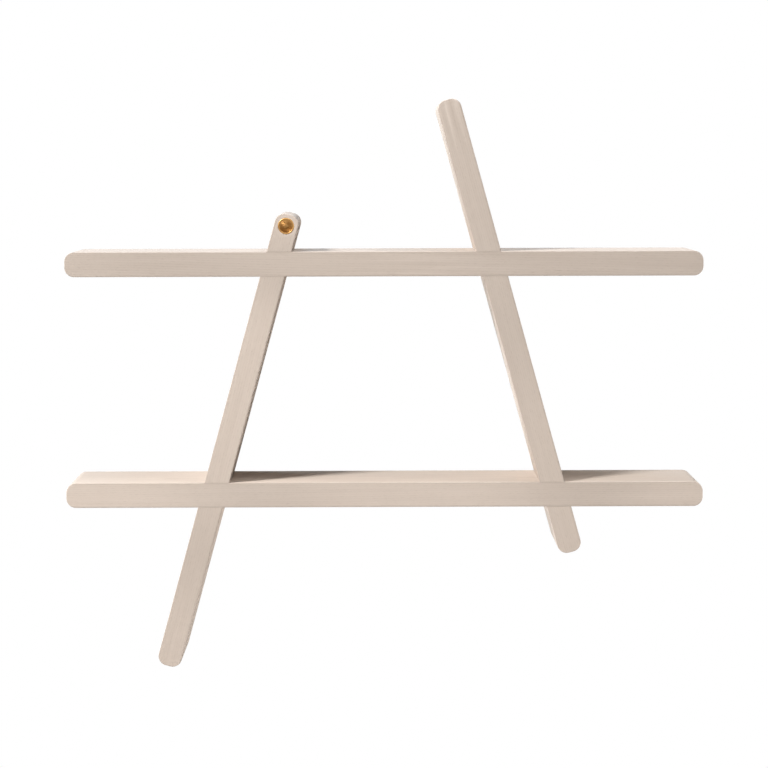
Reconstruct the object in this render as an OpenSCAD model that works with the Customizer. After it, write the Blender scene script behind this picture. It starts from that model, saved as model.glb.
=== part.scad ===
// Wall ladder shelf: two level shelves halved into two leaning bars.
// X runs to the right, Y towards the wall and Z up, in millimetres.
// The origin lies in the wall plane, midway between the two keyholes that the wall screws enter.

/* [Shelves] */
// Length of each shelf board
shelf_length = 670; // [560:10:900]
// Thickness of each shelf board
shelf_thickness = 26; // [22:1:32]
// Height from one shelf's middle to the other's
shelf_spacing = 243; // [180:1:300]

/* [Bars] */
// Length of each leaning bar
bar_length = 493.5; // [470:0.5:640]
// Width of each bar across its front
bar_width = 25; // [23:1:30]
// Lean of each bar away from upright, in degrees
bar_lean = 15.3; // [8:0.1:18]
// Distance between the two bars' middles at the upper shelf
bar_spread = 227; // [190:0.5:260]
// How far the left bar reaches past the upper shelf's middle, along the bar
left_rise = 54; // [45:1:90]
// How far the right bar reaches past the upper shelf's middle, along the bar
right_rise = 178; // [90:1:190]

/* [Boards] */
// Depth of the shelves and the bars, from front to wall
board_depth = 120; // [90:5:180]
// Corner radius at the ends of every board, seen from the front
end_radius = 10; // [6:0.5:11]
// Radius of the eased front and back edges
edge_ease = 0.8; // [0.6:0.1:2]
// Gap left round each board in its halving joint
joint_gap = 0.1; // [0.05:0.05:0.3]

/* [Brass button] */
// Diameter of the button's head
button_d = 17; // [12:0.5:19]
// Thickness of the head at its rim
button_head = 2.4; // [1.8:0.1:3.5]
// How far the head stands proud of the bar's front
button_proud = 0.6; // [0.2:0.1:1]
// Width of the raised rim round the head
button_rim = 1.4; // [0.8:0.1:2]
// Depth of the turned dish inside the rim
button_dish = 0.5; // [0.2:0.1:0.8]
// Diameter of the raised boss in the middle of the dish
button_boss_d = 5; // [3:0.5:7]
// Number of fine rings turned into the dish
button_rings = 3; // [0:1:4]
// Width of each ring's V-shaped groove
ring_width = 0.5; // [0.2:0.1:0.7]
// Diameter of the spigot behind the head
spigot_d = 5; // [4:0.5:7]
// Length of the spigot behind the head
spigot_length = 10; // [6:0.5:16]
// Gap round the button in its seat
button_gap = 0.1; // [0.05:0.05:0.2]

/* [Wall hangers] */
// Height of each keyhole plate
hanger_height = 36; // [34:1:40]
// Width of each keyhole plate
hanger_width = 15; // [13:0.5:16]
// Thickness of each keyhole plate
hanger_thickness = 2; // [1.5:0.1:3]
// Diameter of the hole that the wall screw's head goes in through
entry_d = 9; // [8:0.5:10]
// Width of the slot that holds the wall screw's shank
slot_width = 4; // [3.5:0.1:5]
// How far the shelf drops onto the wall screw
slot_drop = 10; // [8:0.5:11]
// Depth of the pocket behind each plate, for the wall screw's head
head_room = 6; // [5:0.5:9]
// Gap round each plate in its seat
hanger_gap = 0.1; // [0.05:0.05:0.3]

/* [Hanger screws] */
// Diameter of the shank
screw_d = 3; // [2.5:0.1:3.5]
// Length of the screw, head included
screw_length = 16; // [12:1:25]
// Diameter of the countersunk head
screw_head_d = 5.6; // [5:0.1:6]
// Length of the tapered point
screw_point = 3; // [2:0.5:5]
// Distance between the middles of a plate's two screws
screw_spacing = 26; // [24:0.5:28]
// Depth of the cross recess in the head
cross_depth = 1; // [0.6:0.1:1.3]
// Width of the cross recess's slots
cross_width = 0.7; // [0.5:0.1:0.9]
// Length of the cross recess's slots
cross_length = 3.4; // [2.6:0.1:4]
// Gap round the shank and head
screw_gap = 0.05; // [0.02:0.01:0.1]

/* [Hidden] */
$fn = 64;
LEFT = -1;
RIGHT = 1;
over = 5; // how far a cutter runs past the wood

front_y = -board_depth;
lap_y = -board_depth / 2; // each joint meets halfway through the boards
// The plate is centred on the upper shelf, and its keyhole is centred on the plate.
keyhole_top = slot_drop + slot_width / 2;
upper_z = (keyhole_top - entry_d / 2) / 2;
lower_z = upper_z - shelf_spacing;
shelf_levels = [upper_z, lower_z];
screw_head_h = (screw_head_d - screw_d) / 2; // a 90 degree countersink

oak = [0.81, 0.75, 0.70];
brass = [0.71, 0.50, 0.22];
zinc = [0.72, 0.73, 0.74];
steel = [0.60, 0.61, 0.63];

// Where a bar's middle line crosses height z
function bar_x(side, z) = side * (bar_spread / 2 - (z - upper_z) * tan(bar_lean));

// A rectangle with rounded corners, centred
module rounded_rectangle(w, h, r) {
    square([w - 2 * r, h], center = true);
    square([w, h - 2 * r], center = true);
    for (sx = [-1, 1], sy = [-1, 1])
        translate([sx * (w / 2 - r), sy * (h / 2 - r)]) circle(r = r);
}

// A quarter of a disc lying in the XZ plane, with its front and back edges eased
module eased_corner() {
    rotate([-90, 0, 0]) mirror([0, 1, 0]) rotate_extrude(angle = 90) {
        translate([0, -board_depth / 2]) square([end_radius - edge_ease, board_depth]);
        translate([0, edge_ease - board_depth / 2])
            square([end_radius, board_depth - 2 * edge_ease]);
        for (s = [-1, 1])
            translate([end_radius - edge_ease, s * (board_depth / 2 - edge_ease)])
                circle(r = edge_ease);
    }
}

// A board along X with its back in the wall plane: rounded end corners, and eased
// edges all round its front and its back
module eased_board(length, thickness) {
    translate([0, lap_y, 0]) {
        rotate([90, 0, 90])
            linear_extrude(length - 2 * end_radius, center = true)
                rounded_rectangle(board_depth, thickness, edge_ease);
        linear_extrude(thickness - 2 * end_radius, center = true)
            rounded_rectangle(length, board_depth, edge_ease);
        for (mx = [0, 1], mz = [0, 1])
            mirror([mx, 0, 0]) mirror([0, 0, mz])
                translate([length / 2 - end_radius, 0, thickness / 2 - end_radius])
                    eased_corner();
    }
}

// The prism across a board lying along X where another board of the given width
// leans through it. spot holds its place along X and its sideways slope.
module crossing_prism(spot, width, height, y0, y1) {
    half = width / 2 / cos(bar_lean);
    shift = spot[1] * height / 2;
    translate([spot[0], y1, 0]) rotate([90, 0, 0]) linear_extrude(y1 - y0)
        polygon([[-half - shift, -height / 2], [half - shift, -height / 2],
                 [half + shift, height / 2], [-half + shift, height / 2]]);
}

// A board halved for the boards that cross it at spots: slot_y gives the slot's depths.
// Along square_y, where the joint is flush, the crossing stays square-edged, because
// the edges are eased after the joints are glued.
module halved_board(length, thickness, other, spots, slot_y, square_y) {
    difference() {
        union() {
            eased_board(length, thickness);
            for (spot = spots)
                crossing_prism(spot, other, thickness, square_y[0], square_y[1]);
        }
        for (spot = spots)
            crossing_prism(spot, other + 2 * joint_gap, thickness + 2 * over,
                           slot_y[0], slot_y[1]);
    }
}

// A shelf slotted from the back for both bars
module slotted_shelf(z) {
    spots = [for (side = [LEFT, RIGHT]) [bar_x(side, z), -side * tan(bar_lean)]];
    translate([0, 0, z])
        halved_board(shelf_length, shelf_thickness, bar_width, spots,
                     [lap_y - joint_gap / 2, over], [front_y, front_y + 2 * edge_ease]);
}

// A bar notched from the front for both shelves
module notched_bar(side, rise) {
    reach = rise - bar_length / 2;
    spots = [for (z = shelf_levels)
        [(z - upper_z) / cos(bar_lean) - reach, side * tan(bar_lean)]];
    translate([bar_x(side, upper_z), 0, upper_z])
        rotate([0, -side * bar_lean - 90, 0])
            translate([reach, 0, 0])
                halved_board(bar_length, bar_width, shelf_thickness, spots,
                             [front_y - over, lap_y + joint_gap / 2], [-2 * edge_ease, 0]);
}

// A shape drawn in the wall plane, X to the right and Z up, and sunk from y1 to y0
module sunk(y0, y1) {
    translate([0, y1, 0]) rotate([90, 0, 0]) linear_extrude(y1 - y0) children();
}

// The keyhole's outline: an entry hole with a slot above it
module keyhole_outline() {
    circle(d = entry_d);
    translate([-slot_width / 2, 0]) square([slot_width, slot_drop]);
    translate([0, slot_drop]) circle(d = slot_width);
}

// The pocket's outline behind the plate, where the wall screw's head slides up
module pocket_outline() {
    for (z = [0, slot_drop]) translate([0, z]) circle(d = entry_d);
    translate([-entry_d / 2, 0]) square([entry_d, slot_drop]);
}

// The plate's outline: an upright strip with round ends, wider all round by gap
module plate_outline(gap) {
    straight = hanger_height - hanger_width;
    translate([0, upper_z]) {
        square([hanger_width + 2 * gap, straight], center = true);
        for (s = [-1, 1]) translate([0, s * straight / 2]) circle(d = hanger_width + 2 * gap);
    }
}

// Puts what follows at a bar's keyhole
module at_keyhole(side) {
    translate([bar_x(side, upper_z), 0, 0]) children();
}

// Puts what follows at a plate's two screws, pointing into the wood along -Y
module at_screws(side) {
    at_keyhole(side)
        for (s = [-1, 1])
            translate([0, 0, upper_z + s * screw_spacing / 2]) rotate([90, 0, 0]) children();
}

// One countersunk screw's turned body, wider all round by gap
module screw_body(gap) {
    rotate_extrude()
        polygon([[0, 0], [screw_head_d / 2 + gap, 0], [screw_d / 2 + gap, screw_head_h],
                 [screw_d / 2 + gap, screw_length - screw_point], [0, screw_length + gap]]);
}

// Everything that is cut into a bar's back for its hanger
module hanger_seat(side) {
    at_keyhole(side) {
        sunk(-hanger_thickness, over) plate_outline(hanger_gap);
        sunk(-hanger_thickness - head_room, over) pocket_outline();
    }
    at_screws(side) screw_body(screw_gap);
}

// The button's frame: on the left bar's front, centred in the bar's top end
module at_button() {
    along = left_rise - bar_width / 2;
    translate([bar_x(LEFT, upper_z) + along * sin(bar_lean), front_y,
               upper_z + along * cos(bar_lean)])
        rotate([-90, 0, 0]) children();
}

// The stepped hole for the button's head and spigot
module button_seat() {
    at_button() {
        translate([0, 0, -over])
            cylinder(d = button_d + 2 * button_gap, h = over + button_head - button_proud);
        cylinder(d = spigot_d + 2 * button_gap,
                 h = button_head - button_proud + spigot_length + button_gap);
    }
}

module upper_shelf() {
    color(oak) slotted_shelf(upper_z);
}

module lower_shelf() {
    color(oak) slotted_shelf(lower_z);
}

module left_bar() {
    color(oak) difference() {
        notched_bar(LEFT, left_rise);
        hanger_seat(LEFT);
        button_seat();
    }
}

module right_bar() {
    color(oak) difference() {
        notched_bar(RIGHT, right_rise);
        hanger_seat(RIGHT);
    }
}

// Half of the button's section: a rounded rim, a dished face with a low boss and
// fine turned rings, and a spigot behind
module button_section() {
    round_r = button_rim / 2;
    dish_r = button_d / 2 - button_rim;
    boss_r = button_boss_d / 2;
    difference() {
        translate([0, button_dish]) square([dish_r + round_r, button_head - button_dish]);
        for (i = [1:1:button_rings])
            translate([boss_r + (dish_r - boss_r) * i / (button_rings + 1), button_dish])
                rotate(45) square(ring_width / sqrt(2), center = true);
    }
    translate([dish_r, round_r]) square([button_rim, button_head - round_r]);
    translate([dish_r + round_r, round_r]) circle(r = round_r);
    translate([0, button_dish / 2]) square([boss_r, button_head - button_dish / 2]);
    translate([0, button_head]) square([spigot_d / 2, spigot_length]);
}

module brass_button() {
    color(brass) at_button() translate([0, 0, -button_proud])
        rotate_extrude() button_section();
}

module hanger(side) {
    color(zinc) difference() {
        at_keyhole(side) sunk(-hanger_thickness, 0) difference() {
            plate_outline(0);
            keyhole_outline();
        }
        at_screws(side) screw_body(screw_gap);
    }
}

module left_hanger() {
    hanger(LEFT);
}

module right_hanger() {
    hanger(RIGHT);
}

// The two screws of one plate, each with a cross recess in its head
module hanger_screws(side) {
    color(steel) at_screws(side) difference() {
        screw_body(0);
        for (turn = [0, 90])
            rotate([0, 0, turn])
                cube([cross_length, cross_width, 2 * cross_depth], center = true);
    }
}

module left_hanger_screws() {
    hanger_screws(LEFT);
}

module right_hanger_screws() {
    hanger_screws(RIGHT);
}

upper_shelf();
lower_shelf();
left_bar();
right_bar();
brass_button();
left_hanger();
right_hanger();
left_hanger_screws();
right_hanger_screws();
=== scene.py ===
"""Wall ladder shelf: its finishes, its light and its camera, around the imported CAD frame.

Two level oak shelves are halved into two leaning oak bars, with a turned brass button in
the left bar's front and a keyhole plate in each bar's back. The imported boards, plates and
screws keep their shapes and get their finishes here. The button is turned again with a
finer profile. Lengths are in metres: X runs right, Y into the wall and Z up.
"""

import logging
import math
from dataclasses import dataclass
from enum import Enum
from typing import Any, Iterable, Mapping, Optional, Sequence, Union

import bpy
import numpy as np
from mathutils import Matrix, Vector


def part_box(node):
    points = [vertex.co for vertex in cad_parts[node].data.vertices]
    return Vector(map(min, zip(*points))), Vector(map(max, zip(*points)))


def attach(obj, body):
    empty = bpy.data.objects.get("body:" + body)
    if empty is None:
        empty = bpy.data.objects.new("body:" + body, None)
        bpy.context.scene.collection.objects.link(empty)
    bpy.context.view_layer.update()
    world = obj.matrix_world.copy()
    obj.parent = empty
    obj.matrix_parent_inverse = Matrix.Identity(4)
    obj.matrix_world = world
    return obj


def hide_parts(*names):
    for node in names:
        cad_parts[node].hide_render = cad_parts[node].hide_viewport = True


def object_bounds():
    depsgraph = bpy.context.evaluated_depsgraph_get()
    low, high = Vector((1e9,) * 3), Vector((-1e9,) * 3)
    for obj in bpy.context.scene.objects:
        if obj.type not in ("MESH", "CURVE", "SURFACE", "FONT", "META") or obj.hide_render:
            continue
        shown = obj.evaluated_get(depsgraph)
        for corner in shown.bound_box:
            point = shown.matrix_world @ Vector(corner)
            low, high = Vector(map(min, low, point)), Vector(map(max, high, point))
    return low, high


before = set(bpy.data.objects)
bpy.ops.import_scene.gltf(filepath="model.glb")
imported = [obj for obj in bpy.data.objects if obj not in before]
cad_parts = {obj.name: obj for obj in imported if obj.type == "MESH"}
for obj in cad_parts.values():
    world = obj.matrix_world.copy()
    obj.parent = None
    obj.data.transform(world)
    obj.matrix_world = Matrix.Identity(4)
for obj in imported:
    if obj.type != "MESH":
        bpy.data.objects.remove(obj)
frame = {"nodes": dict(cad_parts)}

LOG = logging.getLogger("wall_ladder_shelf")
MM = 0.001
BODY = "root"
CAD_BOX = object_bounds()

Triple = tuple[float, float, float]
Span = tuple[float, float]
Key = Union[str, int]
Value = Union["Wire", float]

WHITE: Triple = (1.0, 1.0, 1.0)


class Lean(Enum):
    """Which way a board's grain runs: along X, or up a bar leaning right or left."""

    LEVEL = 0.0
    TO_THE_RIGHT = 15.3
    TO_THE_LEFT = -15.3

    def turn(self) -> float:
        """The turn about Y, in radians, that lays the grain along X."""
        return 0.0 if self is Lean.LEVEL else math.radians(90 - self.value)


# Shader arithmetic


@dataclass(frozen=True)
class Waves:
    """One layer of smooth noise.

    Attributes:
        scale: Waves in a metre, along each axis.
        detail: How many finer layers are added.
        seed: A different pattern for each number.
        height: What the noise, from about -0.5 to 0.5, is multiplied by.
    """

    scale: Triple
    detail: float
    seed: float
    height: float = 1.0


class Wire:
    """One output socket in a material, which Python's operators turn into Math nodes."""

    def __init__(self, shader: "Shader", socket: bpy.types.NodeSocket) -> None:
        """Keeps the shader that the socket belongs to, and the socket."""
        self.shader = shader
        self.socket = socket

    def math(self, operation: str, *others: Value) -> "Wire":
        """Adds one Math node that works on this value.

        Args:
            operation: The Math node's operation, such as "MULTIPLY".
            others: The node's further values.

        Returns:
            The node's result.
        """
        values = dict(enumerate((self, *others)))
        return self.shader.node("ShaderNodeMath", {"operation": operation}, values)

    def __add__(self, other: Value) -> "Wire":
        """self + other."""
        return self.math("ADD", other)

    def __radd__(self, other: float) -> "Wire":
        """other + self."""
        return self.math("ADD", other)

    def __sub__(self, other: Value) -> "Wire":
        """self - other."""
        return self.math("SUBTRACT", other)

    def __rsub__(self, other: float) -> "Wire":
        """other - self, as self * -1 + other."""
        return self.math("MULTIPLY_ADD", -1.0, other)

    def __mul__(self, other: Value) -> "Wire":
        """self * other."""
        return self.math("MULTIPLY", other)

    def __rmul__(self, other: float) -> "Wire":
        """other * self."""
        return self.math("MULTIPLY", other)

    def __truediv__(self, other: Value) -> "Wire":
        """self / other."""
        return self.math("DIVIDE", other)

    def __rtruediv__(self, other: float) -> "Wire":
        """other / self."""
        return self.shader.node("ShaderNodeMath", {"operation": "DIVIDE"}, {0: other, 1: self})

    def __pow__(self, other: Value) -> "Wire":
        """self to the power of other."""
        return self.math("POWER", other)

    def __rpow__(self, other: float) -> "Wire":
        """other to the power of self."""
        return self.shader.node("ShaderNodeMath", {"operation": "POWER"}, {0: other, 1: self})

    def __abs__(self) -> "Wire":
        """The value without its sign."""
        return self.math("ABSOLUTE")

    def fraction(self) -> "Wire":
        """What is left above the next whole number down."""
        return self.math("FRACT")

    def step(self, start: float, end: float) -> "Wire":
        """A smooth step, which falls where start is the larger number.

        Args:
            start: Where the step is 0.
            end: Where it is 1.

        Returns:
            The step.
        """
        low, high = min(start, end), max(start, end)
        rising = self.shader.node(
            "ShaderNodeMapRange",
            {"interpolation_type": "SMOOTHSTEP"},
            {"Value": self, "From Min": low, "From Max": high},
            "Result",
        )
        return rising if start < end else 1.0 - rising

    def within(self, span: Span) -> "Wire":
        """1 below the span and 0 above it, with a smooth fall between."""
        return self.step(span[1], span[0])

    def hump(self, rise: Span, fall: Span) -> "Wire":
        """A hump that goes up to 1 over one span and down to 0 over a later one."""
        return self.step(*rise) * self.within(fall)


class Shader:
    """A material's node tree, with one method that adds any node."""

    def __init__(self, name: str, world: bool = False) -> None:
        """Makes an empty material, or the world.

        Args:
            name: The new material's or world's name.
            world: True for the world in place of a material.
        """
        self.owner = (bpy.data.worlds if world else bpy.data.materials).new(name)
        self.owner.use_nodes = True
        self.tree = self.owner.node_tree
        self.tree.nodes.clear()

    @staticmethod
    def find(sockets: Any, key: Key) -> bpy.types.NodeSocket:
        """Finds one of a node's sockets.

        Args:
            sockets: The node's inputs or outputs.
            key: Its place in the list, its identifier or its name.

        Returns:
            The socket.
        """
        if isinstance(key, int):
            return sockets[key]
        for socket in sockets:
            if socket.identifier == key:
                return socket
        return sockets[key]

    def node(
        self,
        kind: str,
        settings: Optional[Mapping[str, Any]] = None,
        sockets: Optional[Mapping[Key, Any]] = None,
        output: Key = 0,
    ) -> Wire:
        """Adds a node, sets it up, and fills or links its sockets.

        Args:
            kind: The node's type, such as "ShaderNodeTexNoise".
            settings: Its properties, which are set first.
            sockets: A number, a colour or a Wire for each socket named.
            output: The output that is handed back.

        Returns:
            That output.
        """
        made = self.tree.nodes.new(kind)
        for name, value in (settings or {}).items():
            setattr(made, name, value)
        for key, value in (sockets or {}).items():
            target = self.find(made.inputs, key)
            if isinstance(value, Wire):
                self.tree.links.new(value.socket, target)
            else:
                target.default_value = value
        if not made.outputs:
            return Wire(self, made.inputs[0])
        return Wire(self, self.find(made.outputs, output))

    def place(self, centre: Vector, turn: float) -> Wire:
        """Object coordinates centred on a piece and turned about Y.

        Args:
            centre: The point that becomes the origin.
            turn: The turn about Y, in radians.

        Returns:
            The place as a vector: along the grain, across the depth, through the board.
        """
        where = self.node("ShaderNodeTexCoord", output="Object")
        origin = -(Matrix.Rotation(turn, 3, "Y") @ centre)
        sockets = {"Vector": where, "Location": origin, "Rotation": (0.0, turn, 0.0)}
        return self.node("ShaderNodeMapping", {"vector_type": "POINT"}, sockets)

    def facing(self, direction: Vector) -> Wire:
        """How squarely the surface faces a direction or its opposite.

        Args:
            direction: The direction, of length 1.

        Returns:
            The cosine of the angle between them, without its sign.
        """
        normal = self.node("ShaderNodeTexCoord", output="Normal")
        dot = {"operation": "DOT_PRODUCT"}
        sockets = {0: normal, 1: tuple(direction)}
        return abs(self.node("ShaderNodeVectorMath", dot, sockets, "Value"))

    def split(self, vector: Wire) -> list[Wire]:
        """The three parts of a vector."""
        parts = self.node("ShaderNodeSeparateXYZ", {}, {0: vector}).socket.node.outputs
        return [Wire(self, socket) for socket in parts]

    def join(self, *parts: Value) -> Wire:
        """A vector made from three values."""
        return self.node("ShaderNodeCombineXYZ", {}, dict(enumerate(parts)))

    def stretch(self, vector: Wire, scale: Triple) -> Wire:
        """A vector with each part multiplied by its own scale."""
        settings = {"operation": "MULTIPLY"}
        return self.node("ShaderNodeVectorMath", settings, {0: vector, 1: scale})

    def noise(self, vector: Wire, waves: Waves, seed: float = 0.0) -> Wire:
        """Smooth noise about 0.

        Args:
            vector: The place.
            waves: The layer of noise.
            seed: What is added to the layer's own seed.

        Returns:
            The noise.
        """
        sockets = {
            "Vector": self.stretch(vector, waves.scale),
            "W": seed + waves.seed,
            "Scale": 1.0,
            "Detail": waves.detail,
        }
        settings = {"noise_dimensions": "4D"}
        texture = self.node("ShaderNodeTexNoise", settings, sockets, "Fac")
        return (texture - 0.5) * waves.height

    def cells(self, vector: Wire, scale: Triple, seed: float) -> Wire:
        """The distance to the nearest of scattered points.

        Args:
            vector: The place.
            scale: Points in a metre, along each axis.
            seed: A different scatter for each number.

        Returns:
            The distance, in cells.
        """
        sockets = {0: self.stretch(vector, scale), 1: (seed, -seed, seed / 2)}
        moved = self.node("ShaderNodeVectorMath", {"operation": "ADD"}, sockets)
        settings = {"feature": "F1"}
        sockets = {"Vector": moved, "Scale": 1.0}
        return self.node("ShaderNodeTexVoronoi", settings, sockets, "Distance")

    def scale(self, colour: Wire, factor: Value) -> Wire:
        """A colour with all its parts multiplied by one factor."""
        settings = {"operation": "SCALE"}
        return self.node("ShaderNodeVectorMath", settings, {0: colour, "Scale": factor})

    def mix(self, share: Value, first: Any, second: Any) -> Wire:
        """Blends two colours.

        Args:
            share: How much of the second colour, 0 to 1.
            first: A colour or a Wire.
            second: A colour or a Wire.

        Returns:
            The mixed colour.
        """
        settings = {"data_type": "RGBA", "blend_type": "MIX"}
        colours = {"A_Color": opaque(first), "B_Color": opaque(second)}
        sockets = {"Factor_Float": share, **colours}
        return self.node("ShaderNodeMix", settings, sockets, "Result_Color")

    def bump(self, height: Wire, depth: float, strength: float) -> Wire:
        """A normal bent by a height.

        Args:
            height: The height, from about 0 to 1.
            depth: What a height of 1 stands for, in metres.
            strength: How much of the bend is kept.

        Returns:
            The normal.
        """
        sockets = {"Height": height, "Distance": depth, "Strength": strength}
        return self.node("ShaderNodeBump", {}, sockets)

    def surface(self, **sockets: Any) -> bpy.types.Material:
        """Ends the material in a Principled surface with these sockets.

        Args:
            sockets: The surface's values and links, with _ in place of spaces.

        Returns:
            The material.
        """
        named = {key.replace("_", " "): value for key, value in sockets.items()}
        shader = self.node("ShaderNodeBsdfPrincipled", {}, named)
        self.node("ShaderNodeOutputMaterial", {}, {"Surface": shader})
        return self.owner


def opaque(colour: Any) -> Any:
    """A colour with its alpha, or a Wire as it is."""
    return colour if isinstance(colour, Wire) else (*colour, 1.0)


# Finishes


@dataclass(frozen=True)
class Grain:
    """Where a point of a board's surface lies in its wood.

    Attributes:
        place: The three places below as one vector.
        along: Metres along the grain, from the board's middle.
        across: Metres across its depth, towards the wall.
        through: Metres through its thickness.
        radius: Metres from the pith.
        angle: The angle round the pith, in radians.
        early: 1 in the open early wood of each yearly ring.
        late: 1 in the dense late wood.
        end: 1 where the surface is end grain.
    """

    place: Wire
    along: Wire
    across: Wire
    through: Wire
    radius: Wire
    angle: Wire
    early: Wire
    late: Wire
    end: Wire


@dataclass(frozen=True)
class OakFinish:
    """White-pigmented matt oil on oak, worked out in the board's own directions.

    The yearly rings are cylinders round a pith that lies outside the board. Open pores
    follow their early wood, and rays run out from the pith. The scales count along the
    grain, across the depth and through the board, and every pair is a smooth step's span.
    """

    pale: Triple = (0.662, 0.573, 0.499)
    deep: Triple = (0.516, 0.432, 0.366)
    pore: Triple = (0.362, 0.289, 0.231)
    ray: Triple = (0.715, 0.634, 0.558)
    shade_span: Span = (-0.5, 1.5)
    roughness: float = 0.66
    shine: float = 0.03

    # The yearly rings: their width, their slope along the grain, how far the pith
    # wanders, how uneven they are, where in a ring the early and late wood lie, and how
    # much both shade the oak.
    ring_pitch: float = 1.7 * MM
    taper: float = 0.012
    sway: Waves = Waves((2.6, 9.0, 9.0), 2.0, 0.0, 11 * MM)
    lift: Waves = Waves((2.1, 7.0, 7.0), 2.0, 3.1, 9 * MM)
    uneven: Waves = Waves((1.5, 45.0, 45.0), 1.0, 5.7, 1.3)
    early_rise: Span = (0.0, 0.06)
    early_fall: Span = (0.10, 0.62)
    late_rise: Span = (0.55, 0.93)
    late_fall: Span = (0.97, 1.0)
    early_shade: float = 0.30
    late_shade: float = 0.16
    ring_level: float = 0.06

    # Fine fibres, longer streaks, patches where the rings show more, and broad mottle.
    fibre: Waves = Waves((34.0, 1500.0, 1500.0), 3.0, 1.3)
    fibre_shade: float = 0.4
    streak: Waves = Waves((7.0, 210.0, 210.0), 1.0, 8.2)
    streak_shade: float = 0.6
    patch: Waves = Waves((5.5, 30.0, 30.0), 1.0, 2.4)
    patch_span: Span = (-0.12, 0.16)
    mottle: Waves = Waves((3.2, 6.0, 6.0), 2.0, 6.6)

    # Open pores, wider in the early wood, and rays that fan out from the pith, whose
    # cells count along the grain, round the pith and away from it.
    pore_cells: Triple = (150.0, 2300.0, 2300.0)
    pore_width: float = 0.16
    pore_early: float = 0.24
    pore_edge: Span = (0.55, 1.0)
    pore_share: float = 0.32
    ray_cells: Triple = (55.0, 150.0, 70.0)
    ray_seed: float = 4.0
    ray_edge: Span = (0.10, 0.17)
    ray_share: float = 0.16

    # End grain, by how squarely it faces along the board, and the painted shade and wear
    # that reach in from the long eased edges, with how much each darkens the oak.
    end_span: Span = (0.35, 0.95)
    end_share: float = 0.10
    edge_reach: Span = (0.5 * MM, 2.2 * MM)
    edge_share: float = 0.5
    edge_level: float = 0.8

    # How far the front's painted light and shade and the bold streaks go back, how far up
    # the painted shade on its lower edge goes and how dark it is, and how far the halo round
    # the button goes.
    front_reach: Span = (1 * MM, 3 * MM)
    bold_reach: Span = (4 * MM, 40 * MM)
    under_reach: Span = (0.8 * MM, 2.6 * MM)
    under_shade: float = 0.05
    halo_reach: Span = (9 * MM, 13 * MM)

    # The relief and the roughness that fibres, pores and early wood give.
    pore_depth: float = 0.07 * MM
    relief_strength: float = 0.55
    fibre_relief: float = 0.25
    early_relief: float = 0.3
    fibre_rough: float = 0.16
    pore_rough: float = 0.12

    def material(self, name: str, board: "Board") -> bpy.types.Material:
        """Makes one board's oak.

        Args:
            name: The material's name.
            board: The board, for its centre, lean, pith and size.

        Returns:
            The material.
        """
        s = Shader(name)
        grain = self.grain(s, board)
        fibre = s.noise(grain.place, self.fibre, board.seed)
        width = self.pore_width + grain.early * self.pore_early
        spacing = s.cells(grain.place, self.pore_cells, board.seed)
        pores = (spacing / width).within(self.pore_edge)

        wood = s.mix(self.shade(s, board, grain, fibre), self.pale, self.deep)
        wood = s.mix(self.rays(s, board, grain) * self.ray_share, wood, self.ray)
        wood = s.mix(pores * self.pore_share, wood, self.pore)
        wood = s.mix(grain.end * self.end_share, wood, self.deep)
        # The board's tone, with painted light and shade that differs between its faces.
        wood = s.scale(wood, board.tone + self.change(board, grain))
        # Painted shade, with some handling wear, darkens the long eased edges.
        edge_wear_and_shade = self.edges(board, grain) * (self.edge_level + fibre) * self.edge_share
        wood = s.mix(edge_wear_and_shade, wood, self.deep)

        relief = fibre * self.fibre_relief - pores - grain.early * self.early_relief
        return s.surface(
            Base_Color=wood,
            Roughness=self.roughness + fibre * self.fibre_rough + pores * self.pore_rough,
            Specular_IOR_Level=self.shine,
            Normal=s.bump(relief, self.pore_depth, self.relief_strength),
        )

    def grain(self, s: Shader, board: "Board") -> Grain:
        """Works out the yearly rings and the end grain.

        The radius is the distance from a pith that wanders. A ring is the fraction of
        the radius over the ring's width, once the taper and the unevenness are added.

        Args:
            s: The board's shader.
            board: The board.

        Returns:
            The board's grain.
        """
        place = s.place(board.centre, board.lean.turn())
        along, across, through = s.split(place)
        out = across - board.pith[0] + s.noise(place, self.sway, board.seed)
        up = through - board.pith[1] + s.noise(place, self.lift, board.seed)
        radius = (out * out + up * up) ** 0.5
        uneven = s.noise(place, self.uneven, board.seed)
        ring = ((radius + along * self.taper) / self.ring_pitch + uneven).fraction()
        level = Matrix.Rotation(board.lean.turn(), 3, "Y")
        return Grain(
            place,
            along,
            across,
            through,
            radius,
            angle=up.math("ARCTAN2", out),
            early=ring.hump(self.early_rise, self.early_fall),
            late=ring.hump(self.late_rise, self.late_fall),
            end=s.facing(level.inverted() @ Vector((1, 0, 0))).step(*self.end_span),
        )

    def shade(self, s: Shader, board: "Board", grain: Grain, fibre: Wire) -> Wire:
        """How deep the oak's colour is: 0 for the pale one and 1 for the deep one.

        Args:
            s: The board's shader.
            board: The board.
            grain: Its grain.
            fibre: Its fine fibres.

        Returns:
            The shade.
        """
        patch = s.noise(grain.place, self.patch, board.seed).step(*self.patch_span)
        rings = grain.early * self.early_shade - grain.late * self.late_shade
        rings = (rings - self.ring_level) * (board.figure * (0.5 + patch))
        bold = abs(grain.along - board.bold_at).within((0.0, board.bold_reach))
        bold = bold * (grain.across + board.depth / 2).within(self.bold_reach)
        bold = bold * (1.0 - grain.end)
        streak = s.noise(grain.place, self.streak, board.seed)
        lines = streak * (self.streak_shade + bold * board.bold)
        broad = s.noise(grain.place, self.mottle, board.seed) * board.mottle
        return (0.5 + rings + fibre * self.fibre_shade + lines + broad).step(*self.shade_span)

    def rays(self, s: Shader, board: "Board", grain: Grain) -> Wire:
        """The rays: small cells stretched along the radius, by length, angle and radius.

        Args:
            s: The board's shader.
            board: The board.
            grain: Its grain.

        Returns:
            1 on a ray and 0 beside it.
        """
        along, angle, radius = self.ray_cells
        fan = s.join(grain.along * along, grain.angle * angle, grain.radius * radius)
        cells = s.cells(fan, (1.0, 1.0, 1.0), board.seed + self.ray_seed)
        return cells.within(self.ray_edge)

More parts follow.
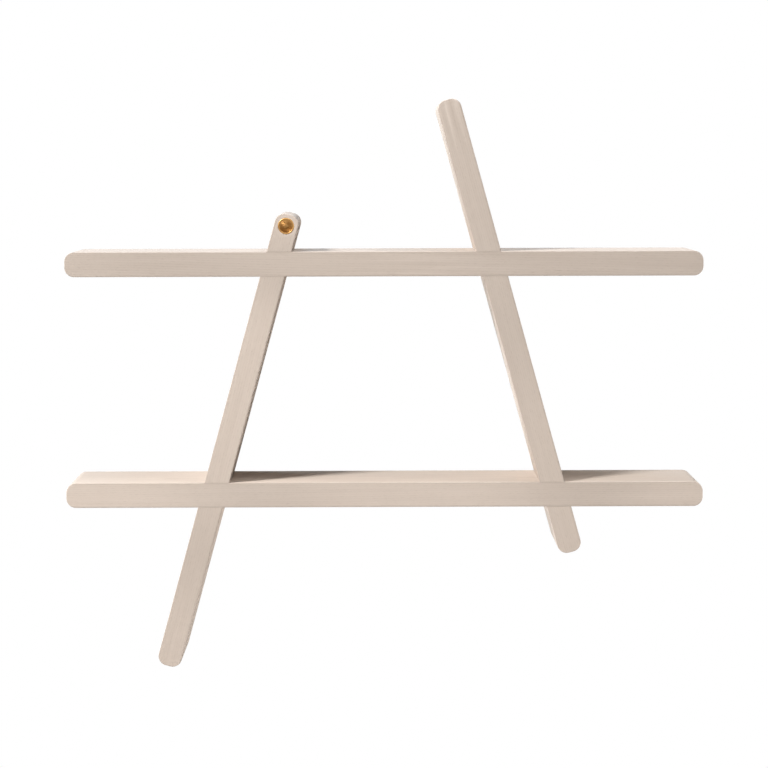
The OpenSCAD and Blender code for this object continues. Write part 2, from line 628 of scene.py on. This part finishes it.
    def change(self, board: "Board", grain: Grain) -> Wire:
        """How much lighter the board is than its tone, on its front and elsewhere.

        The front has painted light and shade of its own, clouds that are partly painted light
        and shade, a halo, and painted shade along its lower edge. Elsewhere the change is
        painted light and shade, a curve of the place along the board:
        slope * along + bend * along squared.

        Args:
            board: The board.
            grain: Its grain.

        Returns:
            The change, as a share of the colour.
        """
        under = (grain.through + board.thickness / 2).within(self.under_reach)
        front = board.front - under * self.under_shade
        for cloud in board.clouds:
            near = abs(grain.along - cloud.at).within((0.0, cloud.reach))
            front = front + near * cloud.change
        if board.halo:
            middle = grain.along - board.halo_at
            away = (middle * middle + grain.through * grain.through) ** 0.5
            front = front + away.within(self.halo_reach) * board.halo
        face = (grain.across + board.depth / 2).within(self.front_reach)
        # Painted light and shade along the board, on the faces other than the front.
        fade = grain.along * board.slope + grain.along * grain.along * board.bend
        return face * front + (1.0 - face) * fade

    def edges(self, board: "Board", grain: Grain) -> Wire:
        """The board's long eased edges, where two faces meet.

        Args:
            board: The board.
            grain: Its grain.

        Returns:
            1 along the edges and 0 away from them.
        """
        rim = (board.depth / 2 - abs(grain.across)).within(self.edge_reach)
        side = (board.thickness / 2 - abs(grain.through)).within(self.edge_reach)
        return rim * side


@dataclass(frozen=True)
class BrassFinish:
    """Turned brass, bright where it is rubbed and brown where it is sunk.

    The wall, the middle and the lower part are shares of the rim's radius: where the
    rim's wall ends, where the middle starts, and where the brass gets browner downwards,
    which is a painted darker reflection.
    """

    bright: Triple = (0.64, 0.365, 0.135)
    brown: Triple = (0.19, 0.078, 0.018)
    roughness: float = 0.37
    cut: Waves = Waves((1 / (0.16 * MM), 1.0, 1.0), 2.0, 1.5)
    cloud: Waves = Waves((420.0, 420.0, 420.0), 3.0, 2.5)
    wall: float = 0.9
    middle: Span = (0.66, 0.88)
    lower: Span = (-0.6, 0.7)
    sunk_from: float = 0.1 * MM

    # How much each part stains the brass, the lower part's share being painted darker
    # reflection, and what the staining, clouds and cuts do to it.
    middle_stain: float = 0.3
    sunk_stain: float = 0.3
    lower_painted_shade: float = 0.35
    cloud_stain: float = 0.9
    cut_stain: float = 0.3
    stain_span: Span = (-0.1, 1.05)
    stain_rough: float = 0.14
    cloud_rough: float = 0.12
    cloud_relief: float = 0.4
    cut_depth: float = 0.012 * MM
    relief_strength: float = 0.6

    def material(
        self, name: str, centre: Vector, rim: float, dish: float
    ) -> bpy.types.Material:
        """Makes the button's brass.

        Args:
            name: The material's name.
            centre: The foremost point of the button's axis.
            rim: The outer radius.
            dish: The depth that counts as sunk.

        Returns:
            The material.
        """
        s = Shader(name)
        place = s.place(centre, 0.0)
        x, y, z = s.split(place)
        radius = (x * x + z * z) ** 0.5
        cut = s.noise(s.join(radius, 0.0, 0.0), self.cut)
        cloud = s.noise(place, self.cloud)
        sunk = y.step(self.sunk_from, dish) * radius.within((rim * self.wall, rim))
        middle = radius.within((rim * self.middle[0], rim * self.middle[1]))
        # Darker towards the bottom: a painted darker reflection, not a stain.
        lower = z.within((rim * self.lower[0], rim * self.lower[1]))
        stain_and_shade = middle * self.middle_stain + sunk * self.sunk_stain + lower * self.lower_painted_shade
        stain_and_shade = stain_and_shade + cloud * self.cloud_stain + cut * self.cut_stain
        stain_and_shade = stain_and_shade.step(*self.stain_span)
        return s.surface(
            Base_Color=s.mix(stain_and_shade, self.bright, self.brown),
            Metallic=1.0,
            Roughness=self.roughness + stain_and_shade * self.stain_rough + cloud * self.cloud_rough,
            Normal=s.bump(
                cut + cloud * self.cloud_relief, self.cut_depth, self.relief_strength
            ),
        )


@dataclass(frozen=True)
class PlatedFinish:
    """Zinc plating on pressed or turned steel: soft crystals, and fine lines of handling."""

    light: Triple = (0.66, 0.67, 0.68)
    dark: Triple = (0.50, 0.51, 0.52)
    roughness: float = 0.34
    crystal_cells: Triple = (480.0, 480.0, 480.0)
    crystal_seed: float = 3.0
    cloud: Waves = Waves((160.0, 160.0, 160.0), 3.0, 4.0)
    line: Waves = Waves((2600.0, 2600.0, 60.0), 2.0, 7.0)
    shade_level: float = 0.4
    crystal_shade: float = 0.4
    line_shade: float = 0.5
    shade_span: Span = (0.1, 1.1)
    cloud_rough: float = 0.25
    line_rough: float = 0.15
    cloud_relief: float = 0.5
    line_depth: float = 0.01 * MM
    relief_strength: float = 0.5

    def material(self, name: str, centre: Vector) -> bpy.types.Material:
        """Makes the plating.

        Args:
            name: The material's name.
            centre: The middle of the piece.

        Returns:
            The material.
        """
        s = Shader(name)
        place = s.place(centre, 0.0)
        crystal = s.cells(place, self.crystal_cells, self.crystal_seed)
        cloud = s.noise(place, self.cloud)
        line = s.noise(place, self.line)
        shade = self.shade_level + crystal * self.crystal_shade + cloud
        shade = (shade + line * self.line_shade).step(*self.shade_span)
        return s.surface(
            Base_Color=s.mix(shade, self.light, self.dark),
            Metallic=1.0,
            Roughness=self.roughness + cloud * self.cloud_rough + line * self.line_rough,
            Normal=s.bump(
                line + cloud * self.cloud_relief, self.line_depth, self.relief_strength
            ),
        )


@dataclass(frozen=True)
class FloorFinish:
    """A pale matt floor that keeps the shadow, a little lifted, and turns white far off."""

    pale: Triple = (0.72, 0.67, 0.63)
    dark_share: float = 0.985
    grit: Waves = Waves((6.0, 6.0, 6.0), 4.0, 1.0)
    near: float = 1.2
    far: float = 2.6
    glow: float = 0.4

    def material(self, name: str) -> bpy.types.Material:
        """Makes the floor's material.

        It is diffuse near the shelf, with a glow that only the eye sees, and white light
        far from it.

        Args:
            name: The material's name.

        Returns:
            The material.
        """
        s = Shader(name)
        place = s.node("ShaderNodeTexCoord", output="Object")
        x, y, _ = s.split(place)
        away = (x * x + y * y) ** 0.5
        darker = tuple(self.dark_share * part for part in self.pale)
        colour = s.mix(0.5 + s.noise(place, self.grit), self.pale, darker)
        matt = s.node("ShaderNodeBsdfDiffuse", {}, {"Color": colour})
        glowing = {"Color": opaque(WHITE), "Strength": 1.0}
        white = s.node("ShaderNodeEmission", {}, glowing)
        eye = s.node("ShaderNodeLightPath", output="Is Camera Ray")
        share = (away.step(self.near, self.far) * (1.0 - self.glow) + self.glow) * eye
        mixed = s.node("ShaderNodeMixShader", {}, {0: share, 1: matt, 2: white})
        s.node("ShaderNodeOutputMaterial", {}, {"Surface": mixed})
        return s.owner


# Meshes


def new_piece(
    name: str, points: np.ndarray, faces: Sequence[Sequence[int]], smooth: bool
) -> bpy.types.Object:
    """Puts arrays into a new mesh object.

    Args:
        name: The object's name.
        points: The vertices, one row of three metres for each.
        faces: The corners of each face, facing outwards.
        smooth: Whether the faces are shaded smooth.

    Returns:
        The object, linked to the scene at the origin.
    """
    mesh = bpy.data.meshes.new(name)
    mesh.from_pydata(points.tolist(), [], faces)
    mesh.polygons.foreach_set("use_smooth", np.full(len(mesh.polygons), smooth))
    mesh.update()
    piece = bpy.data.objects.new(name, mesh)
    bpy.context.scene.collection.objects.link(piece)
    return piece


def revolve(profile: np.ndarray, turns: int) -> tuple[np.ndarray, list[list[int]]]:
    """Turns a profile about the Y axis.

    Each point (radius, depth) becomes a ring of points
    (radius * sin t, depth, radius * cos t), with t going once round. The first and the
    last point of the profile lie on the axis and become single points.

    Args:
        profile: Rows of radius and depth, from the front's middle to the back's.
        turns: How many steps go round.

    Returns:
        The points, and the faces with their outsides outwards.
    """
    around = np.linspace(0.0, 2 * np.pi, turns, endpoint=False)
    ring = profile[1:-1]
    x = ring[:, :1] * np.sin(around)
    z = ring[:, :1] * np.cos(around)
    y = np.repeat(ring[:, 1:], turns, axis=1)
    body = np.stack([x, y, z], axis=-1).reshape(-1, 3)
    tips = np.array([[0.0, profile[0, 1], 0.0], [0.0, profile[-1, 1], 0.0]])
    points = np.vstack([body, tips])
    step = np.arange(turns)
    following = (step + 1) % turns
    rows = np.arange(len(ring) - 1)[:, None] * turns
    quads = np.stack(
        [rows + step, rows + following, rows + turns + following, rows + turns + step],
        axis=-1,
    ).reshape(-1, 4)
    first, last = len(body), len(body) + 1
    end = (len(ring) - 1) * turns
    front = np.stack([np.full(turns, first), following, step], axis=-1)
    back = np.stack([np.full(turns, last), end + step, end + following], axis=-1)
    return points, [*quads.tolist(), *front.tolist(), *back.tolist()]


def give(piece: bpy.types.Object, material: bpy.types.Material) -> None:
    """Puts a material in a piece's only slot.

    Args:
        piece: The piece.
        material: The material.
    """
    if piece.material_slots:
        piece.material_slots[0].material = material
    else:
        piece.data.materials.append(material)


# The shelf


@dataclass(frozen=True)
class Cloud:
    """A soft patch on a board's front: part uneven oak, part painted light and shade.

    Attributes:
        change: How much lighter it is, as a share of the colour.
        at: Where its middle lies along the board.
        reach: How far it fades out on each side.
    """

    change: float
    at: float
    reach: float


@dataclass(frozen=True)
class Board:
    """One packed oak board.

    Attributes:
        node: The CAD node.
        lean: Which way its grain runs.
        seed: Its own place in every pattern.
        pith: Where the log's middle lies, across and through the board.
        thickness: The size of its front, across the grain.
        tone: Its colour's strength.
        front: How much lighter its front is than its other faces: painted light and shade.
        slope: How much lighter its other faces get along the board: painted light and shade.
        bend: How that changes with the square of the place along the board.
        clouds: The soft patches on its front, partly painted light and shade.
        halo: How much lighter the wood round the button is.
        halo_at: Where the button lies along the board.
        mottle: How strong its broad light and dark areas are.
        figure: How strong its yearly rings are.
        bold: How much stronger its streaks are in one place.
        bold_at: Where that is along the board.
        bold_reach: How far it reaches on each side.
        depth: The size from its front to the wall.
    """

    node: str
    lean: Lean
    seed: float
    pith: Span
    thickness: float
    tone: float = 1.0
    front: float = 0.0
    slope: float = 0.0
    bend: float = 0.0
    clouds: tuple[Cloud, ...] = ()
    halo: float = 0.0
    halo_at: float = 0.0
    mottle: float = 0.45
    figure: float = 0.35
    bold: float = 0.0
    bold_at: float = 0.0
    bold_reach: float = 60 * MM
    depth: float = 120 * MM

    @property
    def centre(self) -> Vector:
        """The middle of the board's box."""
        low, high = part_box(self.node)
        return (low + high) / 2


@dataclass(frozen=True)
class OakFrame:
    """The four boards: two level shelves halved into two leaning bars."""

    finish: OakFinish = OakFinish()
    shelf_thickness: float = 26 * MM
    bar_width: float = 25 * MM

    # Each board's front, slope and bend paint light and shade into its oak, and its clouds
    # partly do.
    def boards(self) -> list[Board]:
        """The boards, each cut from its own place in the log."""
        return [self.upper_shelf(), self.lower_shelf(), self.left_bar(), self.right_bar()]

    def upper_shelf(self) -> Board:
        """The upper shelf, darker at the left and with bolder streaks in the middle.

        Returns:
            The board.
        """
        return Board(
            "upper_shelf",
            Lean.LEVEL,
            seed=1.0,
            pith=(12 * MM, -66 * MM),
            thickness=self.shelf_thickness,
            front=-0.02,
            clouds=(
                Cloud(-0.085, -250 * MM, 200 * MM),
                Cloud(0.025, 40 * MM, 80 * MM),
            ),
            bold=1.2,
            bold_at=50 * MM,
            bold_reach=130 * MM,
        )

    def lower_shelf(self) -> Board:
        """The lower shelf, whose top gets darker to the right: painted shade.

        Returns:
            The board.
        """
        return Board(
            "lower_shelf",
            Lean.LEVEL,
            seed=14.5,
            pith=(-18 * MM, -82 * MM),
            thickness=self.shelf_thickness,
            tone=1.17,
            front=-0.05,
            slope=-0.46,
            bend=-1.15,
            clouds=(
                Cloud(-0.11, -140 * MM, 130 * MM),
                Cloud(0.035, 80 * MM, 110 * MM),
                Cloud(-0.09, 212 * MM, 90 * MM),
                Cloud(0.05, 325 * MM, 80 * MM),
            ),
        )

    def left_bar(self) -> Board:
        """The left bar, pale round the button.

        Returns:
            The board.
        """
        return Board(
            "left_bar",
            Lean.TO_THE_RIGHT,
            seed=27.3,
            pith=(24 * MM, 71 * MM),
            thickness=self.bar_width,
            tone=0.955,
            front=0.155,
            clouds=(
                Cloud(-0.15, 190 * MM, 75 * MM),
                Cloud(-0.10, -125 * MM, 95 * MM),
            ),
            halo=0.08,
            halo_at=234 * MM,
        )

    def right_bar(self) -> Board:
        """The right bar, paler towards its foot and streaked at its head.

        Returns:
            The board.
        """
        return Board(
            "right_bar",
            Lean.TO_THE_LEFT,
            seed=41.9,
            pith=(-9 * MM, -58 * MM),
            thickness=self.bar_width,
            tone=1.06,
            front=-0.065,
            clouds=(
                Cloud(0.03, 245 * MM, 45 * MM),
                Cloud(0.05, -90 * MM, 100 * MM),
                Cloud(0.14, -215 * MM, 190 * MM),
            ),
            bold=4.6,
            bold_at=245 * MM,
            bold_reach=62 * MM,
        )

    def dress(self, nodes: Mapping[str, bpy.types.Object]) -> list[str]:
        """Gives each board its oak.

        Args:
            nodes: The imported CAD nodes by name.

        Returns:
            The names of the dressed boards.
        """
        done = []
        for board in self.boards():
            oak = self.finish.material(f"oiled_oak_{board.node}", board)
            give(nodes[board.node], oak)
            done.append(board.node)
        return done


@dataclass(frozen=True)
class TurnedButton:
    """The brass button in the left bar: a rounded rim, a ringed dish and a low boss.

    Attributes:
        node: The CAD node that it replaces.
        rim: The width of the raised rim.
        dish: How far the dish lies behind the rim's crest.
        boss_radius: The radius of the boss in the middle.
        boss_dome: How far the boss is domed.
        head: The thickness of the head.
        rings: How many fine rings are turned into the dish.
        ring_width: The width of each ring's groove.
        bell: A groove's width over its bell curve's spread.
        spigot_radius: The radius of the spigot behind the head.
        fillet: How softly the rim, the dish and the boss meet.
        steps: How many points the face's section has.
        turns: How many steps go round.
        crisp: The turn in degrees past which an edge is shaded crisp.
        finish: The brass.
    """

    node: str = "brass_button"
    rim: float = 1.4 * MM
    dish: float = 0.5 * MM
    boss_radius: float = 2.5 * MM
    boss_dome: float = 0.12 * MM
    head: float = 2.4 * MM
    rings: int = 3
    ring_width: float = 0.5 * MM
    bell: float = 2.6
    spigot_radius: float = 2.5 * MM
    fillet: float = 0.12 * MM
    steps: int = 140
    turns: int = 160
    crisp: float = 40.0
    finish: BrassFinish = BrassFinish()

    def face_depth(self, r: np.ndarray, outer: float) -> np.ndarray:
        """How far the face lies behind the rim's crest.

        The dish is flat, less a bell-shaped groove at each ring, and the boss is a low
        dome that rises from it by a soft step. The rim is half a circle. Where they
        meet, the foremost one counts, rounded by a soft minimum.

        Args:
            r: Distances from the axis.
            outer: The button's radius.

        Returns:
            The depth at each distance.
        """
        dish_radius = outer - self.rim
        share = np.arange(1, self.rings + 1) / (self.rings + 1)
        middles = self.boss_radius + (dish_radius - self.boss_radius) * share
        spread = self.ring_width / self.bell
        grooves = np.exp(-(((r[:, None] - middles) / spread) ** 2)).sum(axis=1)
        flat = self.dish + grooves * self.ring_width / 2
        dome = self.boss_dome * np.minimum(r / self.boss_radius, 1.0) ** 2
        rise = 1 / (1 + np.exp((self.boss_radius - r) / (self.fillet / 2)))
        floor = (self.dish / 2 - self.boss_dome / 2 + dome) * (1 - rise) + flat * rise
        half = self.rim / 2
        across = np.clip((r - (outer - half)) / half, -1.0, 1.0)
        rim = half * (1 - np.sqrt(1 - across**2))
        soft = self.fillet
        blended = -soft * np.log(np.exp(-floor / soft) + np.exp(-rim / soft))
        return np.where(r > outer - half, rim, np.minimum(np.maximum(blended, 0.0), floor))

    def profile(self, outer: float, front: float, back: float) -> np.ndarray:
        """The button's section, from its front's middle round to its back's.

        Args:
            outer: The head's radius.
            front: The Y of the rim's crest.
            back: The Y of the spigot's end.

        Returns:
            Rows of radius and Y.
        """
        r = outer * np.sin(np.linspace(0.0, np.pi / 2, self.steps))
        face = np.stack([r, front + self.face_depth(r, outer)], axis=1)
        behind = front + self.head
        spigot = self.spigot_radius
        rest = [[outer, behind], [spigot, behind], [spigot, back], [0.0, back]]
        return np.vstack([face, rest])

    def build(self) -> bpy.types.Object:
        """Makes the button in place of its CAD node, with the same box.

        Returns:
            The button.
        """
        low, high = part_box(self.node)
        centre = Vector(((low.x + high.x) / 2, 0.0, (low.z + high.z) / 2))
        outer = (high.x - low.x) / 2
        points, faces = revolve(self.profile(outer, low.y, high.y), self.turns)
        piece = new_piece("turned_button", points + np.array(centre), faces, smooth=True)
        piece.data.set_sharp_from_angle(angle=math.radians(self.crisp))
        tip = Vector((centre.x, low.y, centre.z))
        give(piece, self.finish.material("turned_brass", tip, outer, self.dish))
        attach(piece, BODY)
        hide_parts(self.node)
        return piece


@dataclass(frozen=True)
class WallHangers:
    """The keyhole plates in the bars' backs, and the screws that hold them."""

    plate: PlatedFinish = PlatedFinish()
    screw: PlatedFinish = PlatedFinish(
        light=(0.60, 0.61, 0.63), dark=(0.42, 0.43, 0.45), roughness=0.30
    )

    def dress(self, nodes: Mapping[str, bpy.types.Object]) -> list[str]:
        """Gives the plates and the screws their plating.

        Args:
            nodes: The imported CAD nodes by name.

        Returns:
            The names of the dressed nodes.
        """
        finishes = {
            "left_hanger": self.plate,
            "left_hanger_screws": self.screw,
            "right_hanger": self.plate,
            "right_hanger_screws": self.screw,
        }
        for node, finish in finishes.items():
            low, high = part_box(node)
            give(nodes[node], finish.material(f"plating_{node}", (low + high) / 2))
        return list(finishes)


# The studio


@dataclass(frozen=True)
class Lamp:
    """A square or oblong soft lamp that faces the shelf.

    Attributes:
        name: Its name.
        towards: The direction in which it stands, as seen from the shelf.
        distance: How far off it stands.
        width: Its size sideways.
        height: Its size the other way.
        power: Its power in watts.
        colour: Its tint.
    """

    name: str
    towards: Triple
    distance: float
    width: float
    height: float
    power: float
    colour: Triple = WHITE

    def hang(self, target: Vector) -> bpy.types.Object:
        """Hangs the lamp.

        Args:
            target: The point that it lights.

        Returns:
            The lamp.
        """
        data = bpy.data.lights.new(self.name, "AREA")
        data.shape = "RECTANGLE"
        data.size, data.size_y = self.width, self.height
        data.energy = self.power
        data.color = self.colour
        lamp = bpy.data.objects.new(self.name, data)
        bpy.context.scene.collection.objects.link(lamp)
        back = Vector(self.towards).normalized()
        lamp.location = target + back * self.distance
        lamp.rotation_euler = back.to_track_quat("Z", "Y").to_euler()
        lamp.visible_camera = False
        return lamp


@dataclass(frozen=True)
class Studio:
    """A pale floor, a white background and soft lamps.

    Attributes:
        floor_drop: How far the floor lies below the shelf.
        floor_half: Half the floor's side.
        floor_lines: How many lines of points the floor has each way.
        ambient: How bright the background is as a light.
        finish: The floor's finish.
        lamps: The main lamp, high at the left in front, and the weaker ones round it.
    """

    floor_drop: float = 0.90
    floor_half: float = 12.0
    floor_lines: int = 25
    ambient: float = 0.01
    finish: FloorFinish = FloorFinish()

    # Each lamp's name, direction, distance, width, height, power and tint.
    lamps: tuple[Lamp, ...] = (
        Lamp("key_lamp", (-0.975, -0.93, 1.0), 3.6, 0.7, 0.7, 164.0),
        Lamp("side_lamp", (-0.87, 0.39, -0.3), 2.5, 0.8, 0.8, 37.0, (0.88, 1.0, 1.10)),
        Lamp("high_side_lamp", (-0.785, 0.366, 0.5), 2.5, 0.8, 0.8, 12.0, (0.83, 1.0, 1.17)),
        Lamp("right_lamp", (0.47, -0.171, 0.866), 2.5, 0.8, 0.8, 18.0),
        Lamp("overhead_lamp", (0.0, 0.0, 1.0), 2.3, 2.2, 0.35, 23.6, (0.82, 1.0, 1.22)),
        Lamp("low_lamp", (0.94, 0.0, -0.342), 2.0, 0.8, 0.8, 19.0),
        Lamp("right_end_lamp", (0.94, 0.0, 0.342), 2.0, 0.4, 0.8, 11.0),
        Lamp("back_lamp", (0.0, 0.97, -0.24), 3.0, 1.2, 1.2, 9.0, (1.08, 1.0, 0.90)),
    )

    def build(self, box: tuple[Vector, Vector]) -> list[str]:
        """Makes the floor, the background and the lamps.

        Args:
            box: The shelf's lowest and highest corner.

        Returns:
            The names of what was made.
        """
        low, high = box
        target = (low + high) / 2
        names = [self.floor(low.z - self.floor_drop).name, self.background().name]
        return names + [lamp.hang(target).name for lamp in self.lamps]

    def floor(self, level: float) -> bpy.types.Object:
        """The floor: a square grid where each point is (x, y, level).

        Args:
            level: Its height.

        Returns:
            The floor.
        """
        count = self.floor_lines
        line = np.linspace(-self.floor_half, self.floor_half, count)
        x, y = np.meshgrid(line, line)
        points = np.stack([x, y, np.full_like(x, level)], axis=-1).reshape(-1, 3)
        corner = (np.arange(count - 1)[:, None] * count + np.arange(count - 1)).ravel()
        faces = np.stack([corner, corner + 1, corner + count + 1, corner + count], axis=-1)
        piece = new_piece("floor", points, faces.tolist(), smooth=False)
        give(piece, self.finish.material("pale_floor"))
        return piece

    def background(self) -> bpy.types.World:
        """Makes a world that is white to the eye and in reflections, and dim as a light.

        Returns:
            The world.
        """
        s = Shader("white_background", world=True)
        seen = s.node("ShaderNodeLightPath", output="Is Camera Ray")
        outputs = seen.socket.node.outputs
        for ray in ("Is Glossy Ray", "Is Transmission Ray"):
            seen = seen.math("MAXIMUM", Wire(s, outputs[ray]))
        strength = seen * (1.0 - self.ambient) + self.ambient
        lit = {"Color": opaque(WHITE), "Strength": strength}
        sky = s.node("ShaderNodeBackground", {}, lit)
        s.node("ShaderNodeOutputWorld", {}, {"Surface": sky})
        bpy.context.scene.world = s.owner
        return s.owner


@dataclass(frozen=True)
class PhotoCamera:
    """The photograph's viewpoint: a long lens a little above the upper shelf.

    Attributes:
        place: Where it stands.
        down: How far it looks down, in degrees.
        right: How far it looks to the right, in degrees.
        roll: How far it is tilted, in degrees.
        lens: Its focal length, in millimetres on the sensor's width.
        sensor: The sensor's width, in millimetres.
        rise: How far the picture is shifted up, as a share of its width.
    """

    place: Triple = (-0.0104, -3.1946, 0.1090)
    down: float = 3.404
    right: float = 0.190
    roll: float = -0.159
    lens: float = 137.6
    sensor: float = 36.0
    rise: float = -0.06

    def build(self) -> bpy.types.Object:
        """Sets up the scene's camera.

        Returns:
            The camera.
        """
        data = bpy.data.cameras.new("photo_camera")
        data.lens = self.lens
        data.sensor_width = self.sensor
        data.shift_y = self.rise
        camera = bpy.data.objects.new("photo_camera", data)
        bpy.context.scene.collection.objects.link(camera)
        turn = Matrix.Rotation(-math.radians(self.right), 3, "Z")
        tilt = Matrix.Rotation(math.radians(90 - self.down), 3, "X")
        lean = Matrix.Rotation(math.radians(self.roll), 3, "Z")
        camera.location = self.place
        camera.rotation_euler = (turn @ tilt @ lean).to_euler()
        bpy.context.scene.camera = camera
        return camera


def main() -> None:
    """Builds the studio and dresses the shelf, and reports each piece."""
    logging.basicConfig(level=logging.INFO, format="%(name)s: %(message)s")
    nodes = frame["nodes"]
    LOG.info("camera %s", PhotoCamera().build().name)
    LOG.info("oak boards %s", ", ".join(OakFrame().dress(nodes)))
    LOG.info("button %s", TurnedButton().build().name)
    LOG.info("hangers %s", ", ".join(WallHangers().dress(nodes)))
    LOG.info("studio %s", ", ".join(Studio().build(CAD_BOX)))
    bpy.context.scene.view_settings.view_transform = "Standard"


if __name__ == "__main__":
    main()
